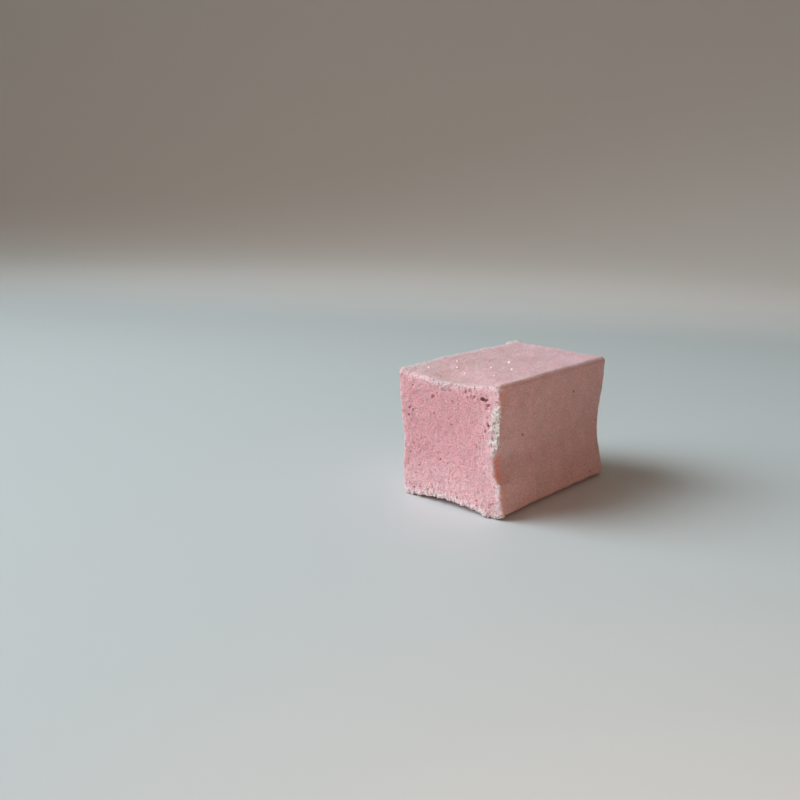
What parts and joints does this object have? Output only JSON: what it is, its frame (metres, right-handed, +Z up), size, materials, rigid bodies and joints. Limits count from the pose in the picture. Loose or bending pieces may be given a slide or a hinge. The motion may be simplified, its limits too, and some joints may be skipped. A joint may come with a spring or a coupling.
{
  "type": "fruit pastila half bar",
  "caption": "Half of a bar of pink whipped fruit pastila, a foamy sweet with a dry skin, cut across to show its fine porous inside, standing on its base.",
  "frame": {"origin": "middle of the base, at the height of the surface it stands on", "axes": "+X along the bar, from the cut face to the bar's own end; +Y across it, towards the side that the picture hides; +Z up"},
  "size_m": [0.0346, 0.0206, 0.0224],
  "materials": {
    "pastila": "matt, dry, faintly dusted foam"
  },
  "bodies": {
    "root": {"pastila": "pastila"}
  },
  "joints": []
}
